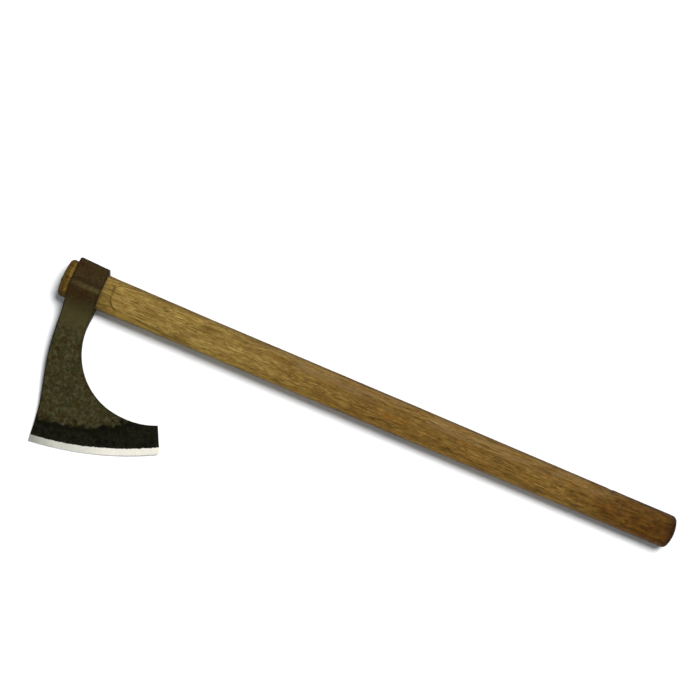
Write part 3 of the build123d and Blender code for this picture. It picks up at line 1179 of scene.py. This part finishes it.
def haft_material():
    """The haft's wood: pale by the head, stained darker along the grip and darkest at the butt,
    with the marks left by whittling at the shoulder drawn as painted shade lines. Its upper and
    lower edges are darkened by dirt and painted shade, the wood at the eye's mouth by painted
    shade; the tenon's lower side has a painted highlight, and the grip's upper half grey
    patches, partly wear and partly painted sheen."""
    paints = (rgb(170, 143, 80), rgb(112, 86, 32), rgb(66, 44, 10), rgb(86, 64, 22))
    s, colour, roughness, height, blotch = wood("haft_wood", *paints)
    at = s.plus(s.x, s.swing(blotch, 150.0))
    amber = s.smooth(s.noise((24.0, 7.0, 7.0), 3.0, 0.6, shift=45.0), 0.54, 0.70)
    worn_and_sheen = s.smooth(s.noise((36.0, 4.0, 4.0), 3.0, shift=47.0), 0.4, 0.6)
    soaked = s.smooth(s.noise((13.0, 5.0, 5.0), 3.0, 0.6, shift=49.0), 0.46, 0.62)
    # The tenon's lower side between the eye and the shoulder, for a painted highlight on its shaved
    # facets.
    low_side = s.product(s.fall(s.y, -15.0, -11.5), s.smooth(s.y, -18.6, -16.8))
    colour = s.stains(colour, ((0.70, 0.60, 0.48), s.smooth(at, 130.0, 330.0)))
    colour = s.layers(
        colour,
        (AMBER, amber, s.smooth(s.x, 150.0, 300.0), 0.5),
        # grey patches on the grip's upper half: partly wear, partly painted sheen
        (WORN_AND_SHEEN, s.smooth(s.y, 1.0, 9.0), worn_and_sheen, s.smooth(s.x, 130.0, 260.0), 0.4),
    )
    colour = s.stains(colour, ((0.56, 0.42, 0.17), s.smooth(at, 540.0, 640.0)))
    colour = s.layers(colour, (SOAKED, soaked, s.smooth(s.x, 540.0, 620.0), 0.55))
    colour = s.stains(
        colour,
        ((0.78, 0.76, 0.6), s.smooth(s.x, 640.0, 668.0)),
        # painted highlight on the tenon's lower side
        ((1.6, 1.56, 1.0), low_side, s.smooth(s.x, 22.0, 34.0)),
        ((0.84, 0.84, 0.8), s.fall(s.x, 22.0, 32.0)),
        # dirt and painted shade along the haft's upper and lower edges, painted shade at the eye's
        # mouth
        ((0.36, 0.33, 0.27), s.mask("edge"), 0.75),
        ((0.86, 0.79, 0.54), s.fall(s.x, -EYE_HALF - 1.0, -EYE_HALF + 1.0)),
        ((0.34, 0.29, 0.2), s.mask("end"), 0.9),
    )

    # Dark lines along the whittled shoulder's step and the lower facet's crease: painted shade in the
    # step and the groove.
    ragged = s.swing(s.noise(2.2, 3.0, 0.6, shift=41.0), 1.4)
    below = s.minus(CURL_START_Y, s.y)
    curl = s.product(s.calc("MAXIMUM", below, 0.0), 1 / CURL_WIDTH)
    step_x = s.plus(s.product(below, SHOULDER_SLANT), SHOULDER_X)
    step_x = s.plus(step_x, s.product(curl, curl, CURL))
    off_step = s.plus(s.minus(s.x, step_x), ragged)
    on_flat = s.band(s.y, -9.8, 10.0, 0.8)
    step = s.product(s.band(off_step, -0.8, 0.8, 0.9), on_flat, s.smooth(s.y, -11.0, 8.0, 0.15, 1.0))
    facet_y = s.plus(s.product(s.minus(s.x, FACET_START[0]), FACET_SLOPE), FACET_START[1])
    off_facet = s.plus(s.minus(s.y, facet_y), s.product(ragged, 0.5))
    cut = s.product(s.band(off_facet, -1.3, 0.5, 0.6), s.band(s.x, 36.0, FACET_END_X - 8.0, 6.0))
    cut = s.product(cut, s.smooth(s.noise((30.0, 4.0, 4.0), 2.0, shift=43.0), 0.3, 0.6, 0.35, 1.0))
    colour = s.layers(
        colour,
        # painted shade lines at the shoulder's step and the facet's crease
        (STEP_SHADE_LINE, step, 0.55),
        (FACET_SHADE_LINE, cut, 0.6),
        (NOTCH, s.smooth(s.radius((KNOT_X + 1.5, 17.2)), 1.0, 4.0, 0.8, 0.0)),
    )
    height = s.minus(height, s.product(s.plus(step, cut), 0.6))
    return s.finish(colour, roughness, s.bump(height, WOOD_RELIEF), WOOD_SHEEN)


def wedge_wood_material():
    paints = (rgb(160, 130, 80), rgb(122, 92, 48), rgb(72, 48, 18), rgb(90, 66, 32))
    s, colour, roughness, height, _ = wood("wedge_wood", *paints)
    colour = s.layers(colour, (rgb(80, 60, 30), s.mask("end"), 0.35))
    return s.finish(colour, roughness, s.bump(height, WOOD_RELIEF), WOOD_SHEEN)


STEEL_SHEEN = (0.3, (1.0, 1.0, 1.0, 1.0))


def wedge_steel_material():
    """Dull dark steel, rust in its pits and a lighter rim where it was hammered."""
    s = Shader("wedge_steel")
    patch = s.noise(2.4, 4.0, 0.6)
    fine = s.noise(0.6, 2.0, 0.6, shift=3.0)
    colour = s.layers(
        rgb(30, 27, 23),
        (rgb(66, 61, 53), s.smooth(patch, 0.3, 0.7)),
        (rgb(58, 36, 18), s.smooth(fine, 0.45, 0.75, 0.0, 0.7)),
        (rgb(96, 91, 82), s.mask("edge"), 0.25),
    )
    roughness = s.smooth(patch, 0.2, 0.8, 0.45, 0.65)
    return s.finish(colour, roughness, s.bump(s.plus(patch, fine), 0.06), STEEL_SHEEN, 0.3)


# --- Masks for the shaders, a number for each vertex


def float_mask(piece, name, values):
    attribute = piece.data.attributes.new(name, "FLOAT", "POINT")
    attribute.data.foreach_set("value", np.asarray(values, np.float32))


def tool_vertices(piece):
    """X, Y and Z of a piece's vertices, in the tool's frame."""
    flat = np.zeros(len(piece.data.vertices) * 3)
    piece.data.vertices.foreach_get("co", flat)
    return to_tool(flat.reshape(-1, 3)).T


def at_top_end(depth, x, y, z):
    """1 on the top end's surface, fading to 0 at that depth below it."""
    return 1 - smoothstep(0.0, depth, x - rounded_top(y, z))


# The head's edge mask: its rounded rims, the poll and the eye's mouths, where the iron shader paints
# shade and dark scale.
for piece in (body, bit):
    x, y, z = tool_vertices(piece)
    near = 1 - smoothstep(0.4, 2.6, outline_distance(x, y))
    poll = smoothstep(POLL_CORNER_Y - 2.0, POLL_CORNER_Y, y)
    mouths = smoothstep(EYE_HALF - 1.2, EYE_HALF - 0.3, np.abs(x)) * (y > NECK_Y)
    float_mask(piece, "edge", np.maximum(near, np.maximum(0.6 * poll, 0.5 * mouths)))

x, y, z = tool_vertices(haft)
share = y / half_depth(x)
# The haft's edge mask: dirt and painted shade along its upper and lower edges, and painted shade just
# outside the eye, where the haft goes into it.
lower_edge_dirt_and_shade = 0.1 * smoothstep(-0.62, -0.8, share) + 0.5 * smoothstep(-0.88, -1.0, share)
upper_edge_dirt_and_shade = 0.25 * smoothstep(0.62, 0.8, share) + 0.75 * smoothstep(0.84, 0.96, share)
past_eye = x - EYE_HALF
eye_mouth_shade = smoothstep(-1.0, 0.0, past_eye) * (1 - smoothstep(0.3, 2.0, past_eye))
at_butt = 1 - smoothstep(0.0, 6.0, butt_dome(y, z) - x)
float_mask(haft, "edge", np.clip(lower_edge_dirt_and_shade + upper_edge_dirt_and_shade + eye_mouth_shade, 0, 1))
float_mask(haft, "end", np.maximum(0.75 * at_top_end(2.5, x, y, z), at_butt))
float_mask(wooden_wedge, "end", at_top_end(2.0, *tool_vertices(wooden_wedge)))
float_mask(steel_wedge, "edge", at_top_end(1.2, *tool_vertices(steel_wedge)))

for piece, node, slot_name, material in (
    (body, "head_body", "forged_iron", iron_material()),
    (bit, "steel_bit", "edge_steel", steel_material()),
    (haft, "haft", "haft_wood", haft_material()),
    (wooden_wedge, "wooden_wedge", "wedge_wood", wedge_wood_material()),
    (steel_wedge, "steel_wedge", "wedge_steel", wedge_steel_material()),
):
    piece.data.materials.clear()
    piece.data.materials.append(material)
    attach(piece, "root")
    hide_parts(node)

# --- Stage, light and camera

VIEW_CENTRE = (281.3, 45.85)
VIEW_DISTANCE = 2850.0
VIEW_TURN = math.radians(22.94)
LENS = 139.0
HALF_FLOOR = 30.0

camera_right = TOOL.T @ np.array([math.cos(VIEW_TURN), math.sin(VIEW_TURN), 0.0])
camera_up = TOOL.T @ np.array([-math.sin(VIEW_TURN), math.cos(VIEW_TURN), 0.0])
camera_back = TOOL[2]

camera = placed("camera", bpy.data.cameras.new("camera"))
camera.data.lens = LENS
camera.data.sensor_width = 36.0
camera.data.clip_end = 60.0
turn = Matrix([list(camera_right), list(camera_up), list(camera_back)]).transposed().to_4x4()
camera.matrix_world = Matrix.Translation(Vector(to_row([*VIEW_CENTRE, VIEW_DISTANCE]))) @ turn
bpy.context.scene.camera = camera


def sun(name, tilt, bearing, strength, spread):
    """A soft far light, tilt degrees off the view's axis, its bearing counted from the picture's
    right towards its top."""
    data = bpy.data.lights.new(name, "SUN")
    data.energy = strength
    data.angle = math.radians(spread)
    made = placed(name, data)
    t = math.radians(tilt)
    b = math.radians(bearing)
    sideways = math.cos(b) * camera_right + math.sin(b) * camera_up
    made.rotation_mode = "QUATERNION"
    towards = math.cos(t) * camera_back + math.sin(t) * sideways
    made.rotation_quaternion = Vector(towards).to_track_quat("Z", "Y")


sun("key", 28.0, 40.0, 3.65, 24.0)
sun("edge_glow", 22.0, 248.0, 0.14, 34.0)

floor_mesh = bpy.data.meshes.new("floor")
signs = ((-1, -1), (1, -1), (1, 1), (-1, 1))
floor_mesh.from_pydata([(a * HALF_FLOOR, b * HALF_FLOOR, 0) for a, b in signs], [], [(0, 1, 2, 3)])
floor = placed("floor", floor_mesh)
floor_paint = bpy.data.materials.new("floor")
floor_paint.use_nodes = True
floor_surface = floor_paint.node_tree.nodes["Principled BSDF"]
floor_surface.inputs["Base Color"].default_value = (0.92, 0.92, 0.92, 1.0)
floor_surface.inputs["Roughness"].default_value = 0.9
floor_surface.inputs["Specular IOR Level"].default_value = 0.0
floor_mesh.materials.append(floor_paint)

# A dim pale sky, brighter close to the horizon, where it meets the far floor
world = bpy.data.worlds.new("studio")
world.use_nodes = True
sky = Nodes(world.node_tree)
direction = sky.add("TexCoord").outputs["Generated"]
up = sky.add("SeparateXYZ", {0: direction}).outputs["Z"]
glow = sky.plus(sky.smooth(up, 0.0, 0.8, 0.4, 0.15), sky.smooth(up, 0.085, 0.13, 0.75, 0.0))
background = sky.tree.nodes["Background"]
sky.tree.links.new(glow, background.inputs["Strength"])
background.inputs["Color"].default_value = (0.86, 0.94, 1.0, 1.0)
bpy.context.scene.world = world
bpy.context.scene.view_settings.view_transform = "Standard"
bpy.context.scene.view_settings.look = "None"
